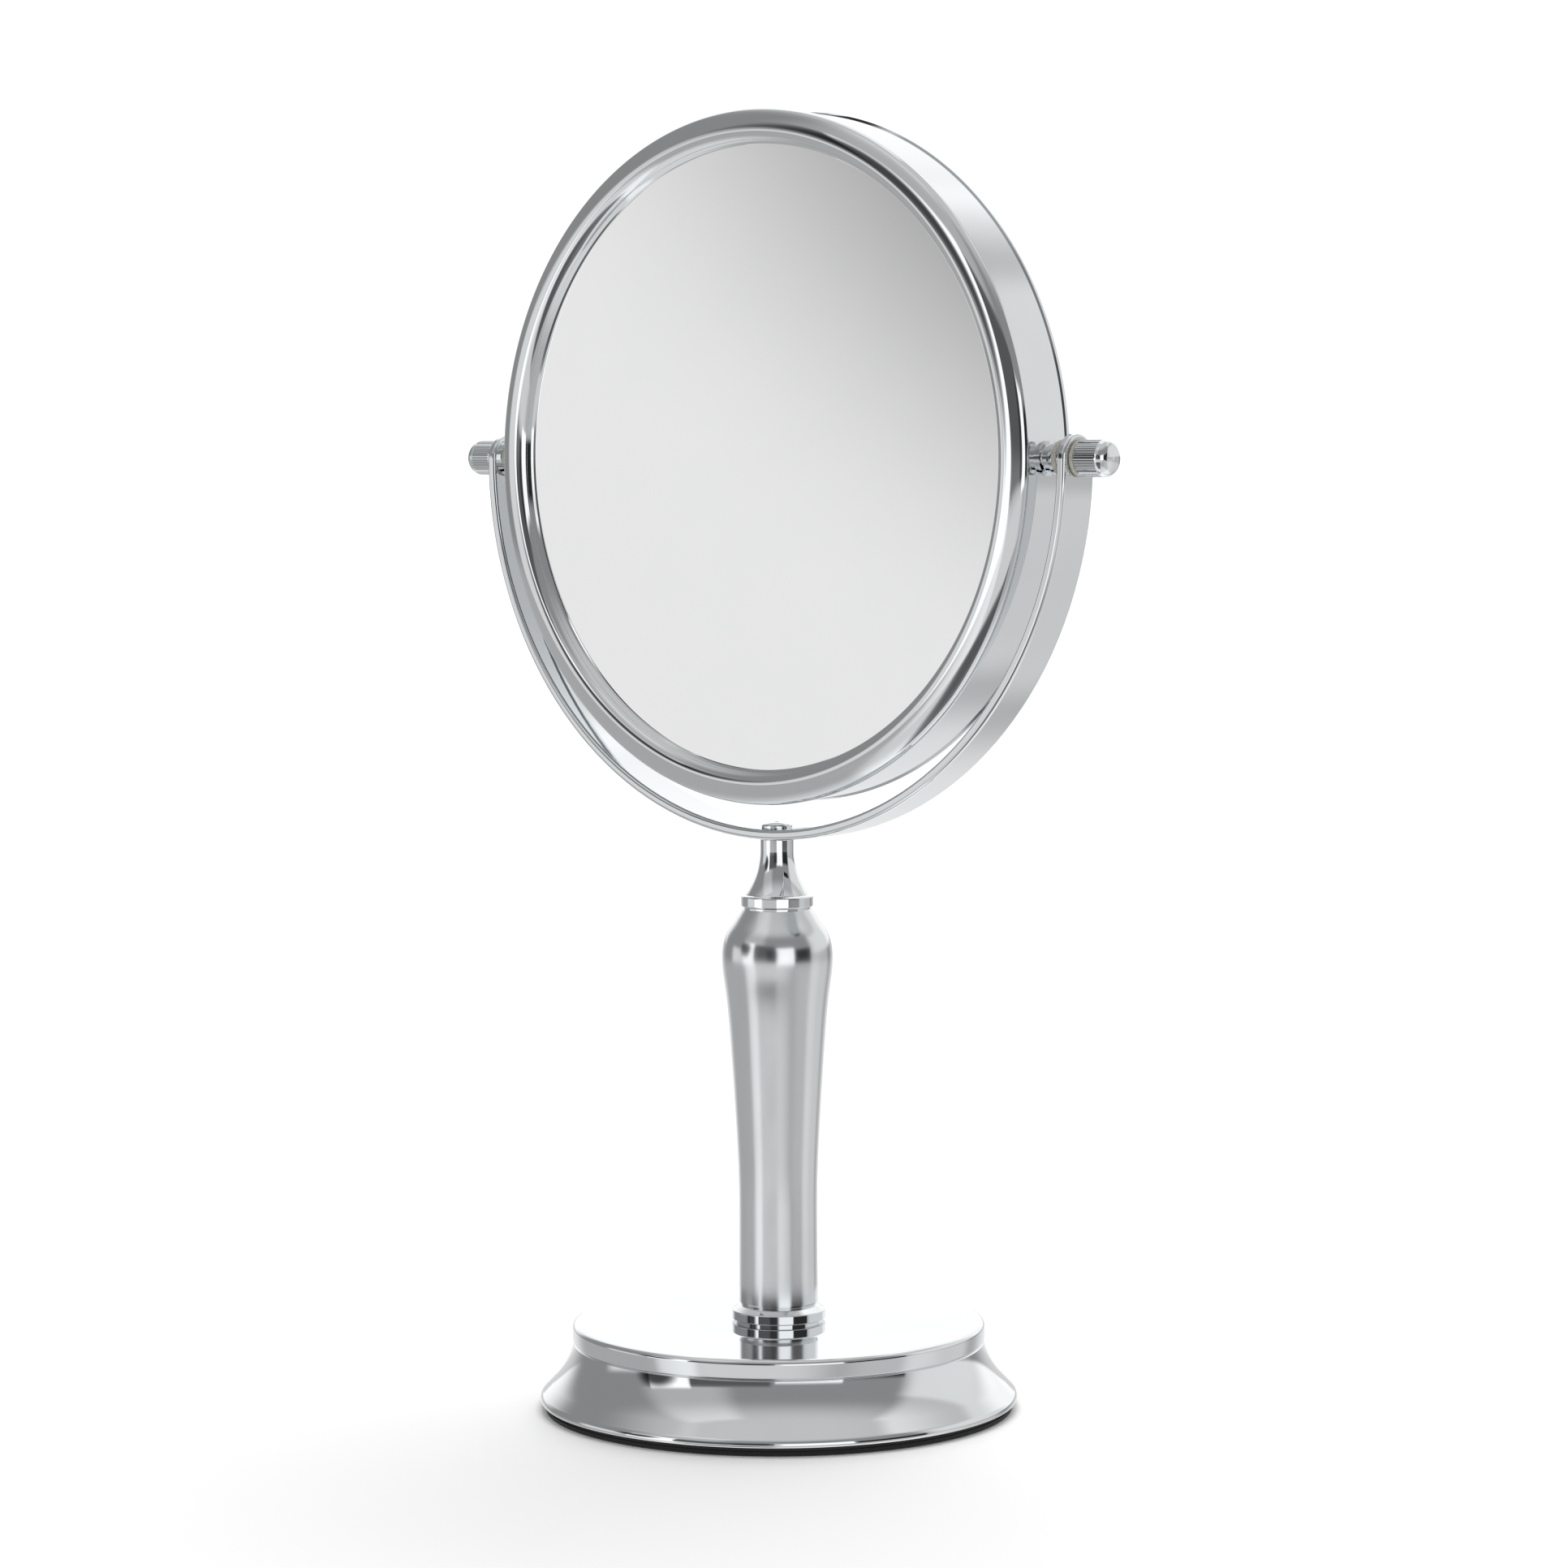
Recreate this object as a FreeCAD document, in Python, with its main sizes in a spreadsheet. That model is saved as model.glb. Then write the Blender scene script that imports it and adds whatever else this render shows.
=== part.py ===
import FreeCAD, Part
import Sketcher
import math
import os

# Countertop mirror: a round two-faced mirror that turns over in a U-shaped yoke on a turned
# pedestal.  Millimetres, +Z up.  The origin is the middle of the foot, the front face of the
# mirror looks along -Y and the pivots of the head lie along X.

DRIVING_SIZES = {
    # overall
    "pivot_height": 263.6,
    # head
    "rim_radius": 95.0,
    "rear_rim_radius": 94.6,
    "band_radius": 94.2,
    "band_sheet": 1.0,
    "head_half_depth": 11.9,
    "sight_radius": 85.3,
    "glass_radius": 88.6,
    "glass_face": 8.0,
    "glass_thickness": 3.0,
    "glass_dish": 4.4,
    "bezel_edge_bow": 2.4,
    "bezel_face_bow": 9.5,
    "bezel_sight_bow": 3.59,
    "spacer_width": 4.4,
    # yoke
    "yoke_radius": 104.8,
    "yoke_sheet": 2.8,
    "yoke_depth": 13.0,
    "yoke_edge": 0.9,
    "ear_boss_radius": 4.75,
    "ear_boss_rise": 1.2,
    # pivots
    "pivot_gap": 0.05,
    "boss_radius": 4.6,
    "stud_radius": 2.0,
    "washer_radius": 4.9,
    "inner_washer": 1.7,
    "outer_washer": 1.2,
    "knob_radius": 4.9,
    "knurl_length": 7.2,
    "knob_dome": 2.8,
    "knurl_teeth": 44,
    "knurl_depth": 0.28,
    # pedestal
    "neck_top_radius": 4.6,
    "neck_foot_radius": 8.8,
    "neck_collar_radius": 10.0,
    "post_top": 139.3,
    "post_belly_radius": 15.3,
    "post_waist_radius": 10.85,
    "collar_radius": 13.0,
    "collar_height": 4.6,
    "bolt_radius": 3.0,
    "tie_washer_radius": 9.0,
    "tie_washer_thickness": 1.2,
    "nut_corner_radius": 5.77,
    "nut_thickness": 5.0,
    # base
    "base_height": 24.3,
    "base_top_radius": 57.3,
    "base_foot_radius": 66.4,
    "flare_bow": 23.7,
    "shell_sheet": 1.2,
    "pad_radius": 65.0,
    "pad_thickness": 1.3,
    "plate_thickness": 1.1,
    "weight_radius": 55.0,
    "weight_thickness": 10.0,
}

doc = FreeCAD.newDocument("CountertopMirror")
sheet = doc.addObject("Spreadsheet::Sheet", "Sizes")
for row, (name, value) in enumerate(DRIVING_SIZES.items(), start=1):
    sheet.set("A%d" % row, name)
    sheet.set("B%d" % row, str(value))
    sheet.setAlias("B%d" % row, name)
doc.recompute()

sub_parts = []


class Size:
    """A length that carries the sheet expression it is worked out by."""

    def __init__(self, value, text):
        self.value = float(value)
        self.text = text

    def __add__(self, other):
        other = as_size(other)
        return Size(self.value + other.value, "(%s + %s)" % (self.text, other.text))

    def __radd__(self, other):
        return as_size(other) + self

    def __sub__(self, other):
        other = as_size(other)
        return Size(self.value - other.value, "(%s - %s)" % (self.text, other.text))

    def __rsub__(self, other):
        return as_size(other) - self

    def __mul__(self, other):
        other = as_size(other)
        return Size(self.value * other.value, "(%s * %s)" % (self.text, other.text))

    def __rmul__(self, other):
        return as_size(other) * self

    def __truediv__(self, other):
        other = as_size(other)
        return Size(self.value / other.value, "(%s / %s)" % (self.text, other.text))

    def __neg__(self):
        return Size(-self.value, "(-1 * %s)" % self.text)


def as_size(number):
    if isinstance(number, Size):
        return number
    return Size(number, repr(float(number)))


def size(name):
    return Size(sheet.get(name), "Sizes." + name)


class Corner:
    """A corner of an outline, reached from the one before by a line, or by an arc of radius bow.

    The arc of a positive bow turns to the left of the way the outline runs, a negative to the right.
    """

    def __init__(self, across, up, bow=None):
        self.across = as_size(across)
        self.up = as_size(up)
        self.bow = None if bow is None else as_size(bow)

    def vector(self):
        return FreeCAD.Vector(self.across.value, self.up.value, 0)


def arc_between(start, end, bow):
    """The arc from start to end in the sketch plane, and whether it had to be drawn end first."""
    radius = abs(bow)
    chord = end - start
    middle = (start + end) * 0.5
    rise = math.sqrt(radius ** 2 - (chord.Length / 2) ** 2)
    left = FreeCAD.Vector(-chord.y, chord.x, 0)
    left.normalize()
    centre = middle + left * (rise if bow > 0 else -rise)
    first, last = (start, end) if bow > 0 else (end, start)
    first_angle = math.atan2(first.y - centre.y, first.x - centre.x)
    last_angle = math.atan2(last.y - centre.y, last.x - centre.x)
    circle = Part.Circle(centre, FreeCAD.Vector(0, 0, 1), radius)
    return Part.ArcOfCircle(circle, first_angle, last_angle), bow < 0


def bind(sketch, constraint, text):
    index = sketch.addConstraint(constraint)
    sketch.setExpression("Constraints[%d]" % index, text)


def pin_to_axes(sketch, line, end, corner):
    """Hold one end of a line at its corner's distances from the two sketch axes."""
    places = (("DistanceX", corner.across, -2), ("DistanceY", corner.up, -1))
    for kind, distance, axis in places:
        if abs(distance.value) < 1e-9:
            sketch.addConstraint(Sketcher.Constraint("PointOnObject", line, end, axis))
        elif distance.value > 0:
            rule = Sketcher.Constraint(kind, -1, 1, line, end, distance.value)
            bind(sketch, rule, distance.text)
        else:
            rule = Sketcher.Constraint(kind, line, end, -1, 1, -distance.value)
            bind(sketch, rule, (-distance).text)


def draw(sketch, corners):
    """Draw the closed outline through the corners, every corner and radius bound to the sheet."""
    ends = []
    for index, corner in enumerate(corners):
        before = corners[index - 1]
        if corner.bow is None:
            line = sketch.addGeometry(Part.LineSegment(before.vector(), corner.vector()), False)
            ends.append((line, 1, 2))
            continue
        arc, end_first = arc_between(before.vector(), corner.vector(), corner.bow.value)
        line = sketch.addGeometry(arc, False)
        ends.append((line, 2, 1) if end_first else (line, 1, 2))
    for index, corner in enumerate(corners):
        line, _, finish = ends[index]
        after, start, _ = ends[(index + 1) % len(corners)]
        sketch.addConstraint(Sketcher.Constraint("Coincident", line, finish, after, start))
        pin_to_axes(sketch, line, finish, corner)
        if corner.bow is not None:
            bow = corner.bow if corner.bow.value > 0 else -corner.bow
            bind(sketch, Sketcher.Constraint("Radius", line, bow.value), bow.text)


def dome_bow(spread, rise):
    """The radius of a dome that falls by rise over spread, with its centre on the axis."""
    return (spread * spread + rise * rise) / (2 * rise)


def new_body(label):
    body = doc.addObject("PartDesign::Body", label)
    body.Label = label
    sub_parts.append(body)
    return body


def new_sketch(body, name, plane):
    sketch = body.newObject("Sketcher::SketchObject", name)
    flat = [item for item in body.Origin.OriginFeatures if item.Role == plane][0]
    sketch.AttachmentSupport = (flat, [""])
    sketch.MapMode = "FlatFace"
    return sketch


def turned(label, corners):
    """A body turned round its own Z axis from a half-section of (radius, height) corners."""
    body = new_body(label)
    sketch = new_sketch(body, label + "_section", "XZ_Plane")
    draw(sketch, corners)
    turning = body.newObject("PartDesign::Revolution", label + "_turning")
    turning.Profile = sketch
    turning.ReferenceAxis = (sketch, ["V_Axis"])
    turning.Angle = 360
    return body


def face_along(body, side_axis, angle):
    """Stand a turned body at pivot height with its own Z axis swung about side_axis."""
    turn = FreeCAD.Rotation(side_axis, angle)
    body.Placement = FreeCAD.Placement(FreeCAD.Vector(0, 0, pivot_height.value), turn)
    body.setExpression("Placement.Base.z", pivot_height.text)


ALONG_X = FreeCAD.Vector(1, 0, 0)
ALONG_Y = FreeCAD.Vector(0, 1, 0)
SIDES = (("left", -90), ("right", 90))

pivot_height = size("pivot_height")
rim_radius = size("rim_radius")
rear_rim_radius = size("rear_rim_radius")
band_radius = size("band_radius")
band_sheet = size("band_sheet")
head_half_depth = size("head_half_depth")
sight_radius = size("sight_radius")
glass_radius = size("glass_radius")
glass_face = size("glass_face")
glass_thickness = size("glass_thickness")
yoke_radius = size("yoke_radius")
yoke_sheet = size("yoke_sheet")
yoke_depth = size("yoke_depth")
stud_radius = size("stud_radius")
pivot_gap = size("pivot_gap")
bolt_radius = size("bolt_radius")
base_height = size("base_height")

yoke_inside = yoke_radius - yoke_sheet
ear_face = yoke_inside - size("ear_boss_rise")
inner_washer_start = ear_face - pivot_gap - size("inner_washer")
outer_washer_start = yoke_radius + pivot_gap
knob_start = outer_washer_start + size("outer_washer") + pivot_gap
stud_start = band_radius - 2.4
band_end = head_half_depth - 2.3
bolt_hole = bolt_radius + 0.1
washer_bore = stud_radius + 0.08
rivet_radius = stud_radius + 0.75
rivet_hole = rivet_radius + 0.05
screw_hole = stud_radius + 0.1
shell_sheet = size("shell_sheet")


# ---------------------------------------------------------------- head

def head_band():
    """The rolled side wall, a plain hoop with a hole for each pivot boss."""
    body = turned("head_band", [
        Corner(band_radius - band_sheet, -band_end),
        Corner(band_radius, -band_end),
        Corner(band_radius, band_end),
        Corner(band_radius - band_sheet, band_end),
    ])
    face_along(body, ALONG_X, 90)
    sketch = new_sketch(body, "head_band_holes", "YZ_Plane")
    circle = Part.Circle(FreeCAD.Vector(0, 0, 0), FreeCAD.Vector(0, 0, 1), rivet_hole.value)
    sketch.addGeometry(circle, False)
    sketch.addConstraint(Sketcher.Constraint("Coincident", 0, 3, -1, 1))
    bind(sketch, Sketcher.Constraint("Radius", 0, rivet_hole.value), rivet_hole.text)
    holes = body.newObject("PartDesign::Pocket", "head_band_bores")
    holes.Profile = sketch
    holes.Type = 1
    holes.Midplane = True


def bezel(label, outer_radius, swing):
    """The stamped ring that holds a glass: rolled outer edge, broad convex face, rounded sight edge."""
    edge_bow = size("bezel_edge_bow")
    face_bow = size("bezel_face_bow")
    sight_bow = size("bezel_sight_bow")
    edge_turn = math.radians(30)
    sight_turn = math.radians(70)
    edge_top = head_half_depth - math.cos(edge_turn) * edge_bow - (1 - math.cos(edge_turn)) * face_bow
    face_start = outer_radius - math.sin(edge_turn) * edge_bow
    crest = face_start - math.sin(edge_turn) * face_bow
    lip_back = band_end - 1.4
    body = turned(label, [
        Corner(outer_radius, lip_back),
        Corner(outer_radius, edge_top),
        Corner(face_start, edge_top + math.cos(edge_turn) * edge_bow, edge_bow),
        Corner(crest, head_half_depth, face_bow),
        Corner(crest - math.sin(sight_turn) * sight_bow,
               head_half_depth - (1 - math.cos(sight_turn)) * sight_bow, sight_bow),
        Corner(sight_radius, glass_face + 0.5),
        Corner(sight_radius, glass_face),
        Corner(glass_radius + 0.2, glass_face),
        Corner(glass_radius + 0.2, glass_face - 1.6),
        Corner(band_radius - band_sheet, glass_face - 1.6),
        Corner(band_radius - band_sheet, band_end),
        Corner(band_radius, band_end),
        Corner(band_radius, lip_back),
    ])
    face_along(body, ALONG_X, swing)


def front_mirror_glass():
    """The plane glass."""
    body = turned("front_mirror_glass", [
        Corner(0, glass_face - glass_thickness),
        Corner(glass_radius, glass_face - glass_thickness),
        Corner(glass_radius, glass_face - 0.4),
        Corner(glass_radius - 0.4, glass_face),
        Corner(0, glass_face),
    ])
    face_along(body, ALONG_X, 90)


def rear_mirror_glass():
    """The magnifying glass, a shallow dish of even thickness."""
    dish = size("glass_dish")
    curve = dome_bow(glass_radius, dish)
    body = turned("rear_mirror_glass", [
        Corner(0, glass_face - dish - glass_thickness),
        Corner(glass_radius, glass_face - glass_thickness, curve),
        Corner(glass_radius, glass_face),
        Corner(0, glass_face - dish, -curve),
    ])
    face_along(body, ALONG_X, -90)


def glass_spacer():
    """The foam ring between the two glasses."""
    back = glass_face - glass_thickness
    body = turned("glass_spacer", [
        Corner(glass_radius - size("spacer_width"), 0.5 - back),
        Corner(glass_radius, 0.5 - back),
        Corner(glass_radius, back),
        Corner(glass_radius - size("spacer_width"), back),
    ])
    face_along(body, ALONG_X, 90)


def pivot_boss(label, swing):
    """The flanged chrome boss riveted through the side wall, threaded for the stud."""
    boss_radius = size("boss_radius")
    boss_end = inner_washer_start
    bore = stud_radius + 0.05
    body = turned(label, [
        Corner(bore, stud_start),
        Corner(rivet_radius, stud_start),
        Corner(rivet_radius, band_radius),
        Corner(boss_radius, band_radius),
        Corner(boss_radius, band_radius + 0.9),
        Corner(boss_radius - 0.7, band_radius + 1.3),
        Corner(boss_radius - 0.7, boss_end - 1.6),
        Corner(boss_radius - 0.2, boss_end - 1.3),
        Corner(boss_radius - 0.2, boss_end),
        Corner(bore, boss_end),
    ])
    face_along(body, ALONG_Y, swing)


def washer(label, swing, inside, thickness):
    """A nylon pivot washer, with a small chamfer on both outer edges."""
    radius = size("washer_radius")
    body = turned(label, [
        Corner(washer_bore, inside),
        Corner(radius - 0.25, inside),
        Corner(radius, inside + 0.25),
        Corner(radius, inside + thickness - 0.25),
        Corner(radius - 0.25, inside + thickness),
        Corner(washer_bore, inside + thickness),
    ])
    face_along(body, ALONG_Y, swing)


# ---------------------------------------------------------------- knobs

def knob(label, swing):
    """The clamping knob: a straight-knurled barrel with a smooth domed end, bored for its stud."""
    radius = size("knob_radius")
    knurl_end = knob_start + size("knurl_length")
    tip = knurl_end + size("knob_dome")
    crown = radius - 2.2
    crown_rise = as_size(0.35)
    bore_end = knurl_end - 1.5
    body = turned(label, [
        Corner(stud_radius, knob_start),
        Corner(radius - 0.3, knob_start),
        Corner(radius, knob_start + 0.3),
        Corner(radius, knurl_end),
        Corner(crown, tip - crown_rise, 2.75),
        Corner(0, tip, dome_bow(crown, crown_rise)),
        Corner(0, bore_end),
        Corner(stud_radius, bore_end),
    ])
    face_along(body, ALONG_Y, swing)
    cut_knurl(body, label, radius, knob_start, knurl_end)


def cut_knurl(body, label, radius, start, end):
    """Cut one V groove in the barrel and repeat it round the knob."""
    depth = size("knurl_depth")
    half_width = depth * 0.95
    sketch = new_sketch(body, label + "_tooth", "XY_Plane")
    sketch.AttachmentOffset = FreeCAD.Placement(
        FreeCAD.Vector(0, 0, start.value - 1), FreeCAD.Rotation())
    sketch.setExpression("AttachmentOffset.Base.z", (start - 1).text)
    draw(sketch, [
        Corner(radius - depth, 0),
        Corner(radius + 0.2, -half_width * 1.6),
        Corner(radius + 0.2, half_width * 1.6),
    ])
    groove = body.newObject("PartDesign::Pocket", label + "_groove")
    groove.Profile = sketch
    groove.Reversed = True
    groove.setExpression("Length", (end - start + 0.8).text)
    doc.recompute()
    ring = body.newObject("PartDesign::PolarPattern", label + "_knurl")
    ring.Originals = [groove]
    ring.Axis = (sketch, ["N_Axis"])
    ring.Angle = 360
    ring.setExpression("Occurrences", "Sizes.knurl_teeth")
    body.Tip = ring


def pivot_stud(label, swing):
    """The stud fixed in the knob, running through the yoke into the boss of the head."""
    length_end = knob_start + size("knurl_length") - 1.5
    body = turned(label, [
        Corner(0, stud_start + 0.3),
        Corner(stud_radius - 0.4, stud_start + 0.3),
        Corner(stud_radius, stud_start + 0.7),
        Corner(stud_radius, length_end),
        Corner(0, length_end),
    ])
    face_along(body, ALONG_Y, swing)


# ---------------------------------------------------------------- yoke

def yoke():
    """The U-shaped band: a half hoop round the head whose arms end in round ears at the pivots."""
    body = new_body("yoke")
    ear = yoke_depth / 2
    sketch = new_sketch(body, "yoke_hoop", "XZ_Plane")
    draw(sketch, [
        Corner(-yoke_radius, ear),
        Corner(-yoke_radius, 0),
        Corner(0, -yoke_radius, yoke_radius),
        Corner(yoke_radius, 0, yoke_radius),
        Corner(yoke_radius, ear),
        Corner(yoke_inside, ear),
        Corner(yoke_inside, 0),
        Corner(0, -yoke_inside, -yoke_inside),
        Corner(-yoke_inside, 0, -yoke_inside),
        Corner(-yoke_inside, ear),
    ])
    hoop = body.newObject("PartDesign::Pad", "yoke_band")
    hoop.Profile = sketch
    hoop.Midplane = True
    hoop.setExpression("Length", yoke_depth.text)
    doc.recompute()
    round_ears(body, hoop, ear)
    add_ear_bosses(body)
    bore_ears(body)
    bore_screw_hole(body)
    body.Placement = FreeCAD.Placement(
        FreeCAD.Vector(0, 0, pivot_height.value), FreeCAD.Rotation())
    body.setExpression("Placement.Base.z", pivot_height.text)


def round_ears(body, hoop, ear):
    """Round the ends of the arms, then ease the long edges of the band."""
    ends = []
    for index, edge in enumerate(hoop.Shape.Edges, start=1):
        box = edge.BoundBox
        at_tip = abs(box.ZMin - ear.value) < 1e-4 and abs(box.ZMax - ear.value) < 1e-4
        if at_tip and box.YLength < 1e-4:
            ends.append("Edge%d" % index)
    rounding = body.newObject("PartDesign::Fillet", "yoke_ears")
    rounding.Base = (hoop, ends)
    rounding.setExpression("Radius", "%s - 0.02" % ear.text)
    doc.recompute()
    long_edges = []
    half = yoke_depth.value / 2
    for index, edge in enumerate(rounding.Shape.Edges, start=1):
        box = edge.BoundBox
        on_side = box.YLength < 1e-4 and abs(abs(box.YMin) - half) < 1e-4
        if on_side and box.ZLength > half:
            long_edges.append("Edge%d" % index)
    easing = body.newObject("PartDesign::Fillet", "yoke_easing")
    easing.Base = (rounding, long_edges)
    easing.setExpression("Radius", "Sizes.yoke_edge")
    doc.recompute()


def side_circle(body, name, radius, distance):
    """A circle about the pivot axis on a plane that faces +X, at a distance from the middle."""
    sketch = new_sketch(body, name, "YZ_Plane")
    sketch.AttachmentOffset = FreeCAD.Placement(
        FreeCAD.Vector(0, 0, distance.value), FreeCAD.Rotation())
    sketch.setExpression("AttachmentOffset.Base.z", distance.text)
    circle = Part.Circle(FreeCAD.Vector(0, 0, 0), FreeCAD.Vector(0, 0, 1), radius.value)
    sketch.addGeometry(circle, False)
    sketch.addConstraint(Sketcher.Constraint("Coincident", 0, 3, -1, 1))
    bind(sketch, Sketcher.Constraint("Radius", 0, radius.value), radius.text)
    return sketch


def add_ear_bosses(body):
    """The round pads on the inner faces of the ears, which the inner washers bear on."""
    for name, distance, backwards in (("left", -ear_face, True), ("right", ear_face, False)):
        sketch = side_circle(body, "yoke_%s_pad" % name, size("ear_boss_radius"), distance)
        pad = body.newObject("PartDesign::Pad", "yoke_%s_boss" % name)
        pad.Profile = sketch
        pad.Reversed = backwards
        pad.setExpression("Length", (size("ear_boss_rise") + 0.5).text)
        doc.recompute()


def bore_ears(body):
    sketch = side_circle(body, "yoke_ear_bore", washer_bore, as_size(0))
    bore = body.newObject("PartDesign::Pocket", "yoke_ear_holes")
    bore.Profile = sketch
    bore.Type = 1
    bore.Midplane = True


def bore_screw_hole(body):
    sketch = new_sketch(body, "yoke_screw_bore", "XY_Plane")
    circle = Part.Circle(FreeCAD.Vector(0, 0, 0), FreeCAD.Vector(0, 0, 1), screw_hole.value)
    sketch.addGeometry(circle, False)
    sketch.addConstraint(Sketcher.Constraint("Coincident", 0, 3, -1, 1))
    bind(sketch, Sketcher.Constraint("Radius", 0, screw_hole.value), screw_hole.text)
    bore = body.newObject("PartDesign::Pocket", "yoke_screw_hole")
    bore.Profile = sketch
    bore.Type = 1
    bore.Midplane = True


def yoke_screw():
    """The low domed screw that fixes the yoke on the neck."""
    seat = pivot_height - yoke_inside + 0.1
    head_radius = size("neck_top_radius") - 0.3
    crown = head_radius - 0.5
    crown_rise = as_size(0.55)
    tip = seat - 11
    turned("yoke_screw", [
        Corner(0, tip),
        Corner(stud_radius - 0.5, tip),
        Corner(stud_radius, tip + 0.6),
        Corner(stud_radius, seat),
        Corner(head_radius, seat),
        Corner(head_radius, seat + 0.7),
        Corner(crown, seat + 1.15, 0.55),
        Corner(0, seat + 1.15 + crown_rise, dome_bow(crown, crown_rise)),
    ])


# ---------------------------------------------------------------- pedestal

def neck():
    """The trumpet-shaped neck with its collar, tapped at both ends."""
    top = pivot_height - yoke_radius
    post_top = size("post_top")
    collar_radius = size("neck_collar_radius")
    foot_radius = size("neck_foot_radius")
    top_radius = size("neck_top_radius")
    flare_foot = post_top + 4.3
    flare_top = top - 3.4
    spread = foot_radius - top_radius
    rise = flare_top - flare_foot
    flare = (spread * spread + rise * rise) / (2 * spread)
    screw_hole_end = top - 9
    bolt_hole_end = post_top + 9
    turned("neck", [
        Corner(bolt_radius, post_top),
        Corner(collar_radius - 0.7, post_top),
        Corner(collar_radius - 0.7, post_top + 0.5),
        Corner(collar_radius - 0.4, post_top + 0.6),
        Corner(collar_radius, post_top + 1.1, 0.5),
        Corner(collar_radius, post_top + 3.3),
        Corner(collar_radius - 0.5, post_top + 3.8, 0.5),
        Corner(foot_radius + 0.2, post_top + 4.0),
        Corner(foot_radius, flare_foot),
        Corner(top_radius, flare_top, -flare),
        Corner(top_radius, top - 0.3),
        Corner(top_radius - 0.3, top),
        Corner(stud_radius, top),
        Corner(stud_radius, screw_hole_end),
        Corner(0, screw_hole_end),
        Corner(0, bolt_hole_end),
        Corner(bolt_radius, bolt_hole_end),
    ])


def post_body():
    """The turned vase-shaped post: a smooth curve through its belly and waist, drilled through."""
    foot = sheet.get("base_height") + sheet.get("collar_height")
    top = sheet.get("post_top")
    belly = sheet.get("post_belly_radius")
    waist = sheet.get("post_waist_radius")
    bore = sheet.get("bolt_radius") + 0.6
    height = top - foot
    foot_corner = FreeCAD.Vector(waist - 0.35, 0, 0)
    foot_edge = FreeCAD.Vector(waist + 0.1, 0, 0.9)
    shoulder = FreeCAD.Vector(9.6, 0, height)
    stations = [
        foot_edge,
        FreeCAD.Vector(waist, 0, 0.22 * height),
        FreeCAD.Vector(waist + 0.10, 0, 0.32 * height),
        FreeCAD.Vector(waist + 0.60, 0, 0.43 * height),
        FreeCAD.Vector(waist + 1.30, 0, 0.54 * height),
        FreeCAD.Vector(waist + 2.25, 0, 0.67 * height),
        FreeCAD.Vector(belly - 0.95, 0, 0.79 * height),
        FreeCAD.Vector(belly, 0, 0.885 * height),
        FreeCAD.Vector(belly - 1.35, 0, 0.94 * height),
        FreeCAD.Vector(belly - 3.50, 0, 0.97 * height),
        shoulder,
    ]
    curve = Part.BSplineCurve()
    curve.interpolate(stations)
    bore_foot = FreeCAD.Vector(bore, 0, 0)
    bore_top = FreeCAD.Vector(bore, 0, height)
    outline = Part.Wire([
        Part.LineSegment(foot_corner, foot_edge).toShape(),
        curve.toShape(),
        Part.LineSegment(shoulder, bore_top).toShape(),
        Part.LineSegment(bore_top, bore_foot).toShape(),
        Part.LineSegment(bore_foot, foot_corner).toShape(),
    ])
    section = Part.Face(outline)
    feature = doc.addObject("Part::Feature", "post_body")
    feature.Label = "post_body"
    feature.Shape = section.revolve(FreeCAD.Vector(0, 0, 0), FreeCAD.Vector(0, 0, 1), 360)
    feature.Placement = FreeCAD.Placement(FreeCAD.Vector(0, 0, foot), FreeCAD.Rotation())
    sub_parts.append(feature)


def lower_collar():
    """The collar that carries the post: undercut foot, ring and short cone."""
    radius = size("collar_radius")
    top = base_height + size("collar_height")
    waist = size("post_waist_radius")
    turned("lower_collar", [
        Corner(bolt_hole, base_height),
        Corner(radius - 0.9, base_height),
        Corner(radius - 0.9, base_height + 0.6),
        Corner(radius - 0.3, base_height + 0.6),
        Corner(radius, base_height + 0.9, 0.3),
        Corner(radius, base_height + 2.9),
        Corner(radius - 0.4, base_height + 3.3, 0.4),
        Corner(waist + 0.1, top - 0.2),
        Corner(waist - 0.35, top),
        Corner(bolt_hole, top),
    ])


def tie_rod():
    """The long threaded rod that clamps post and base to the neck."""
    foot = base_height - 17.8
    top = size("post_top") + 8.5
    turned("tie_rod", [
        Corner(0, foot),
        Corner(bolt_radius - 0.5, foot),
        Corner(bolt_radius, foot + 0.5),
        Corner(bolt_radius, top - 0.5),
        Corner(bolt_radius - 0.5, top),
        Corner(0, top),
    ])


def tie_rod_washer(weight_bottom):
    radius = size("tie_washer_radius")
    underside = weight_bottom - size("tie_washer_thickness")
    turned("tie_rod_washer", [
        Corner(bolt_hole, underside),
        Corner(radius, underside),
        Corner(radius, weight_bottom),
        Corner(bolt_hole, weight_bottom),
    ])


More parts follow.
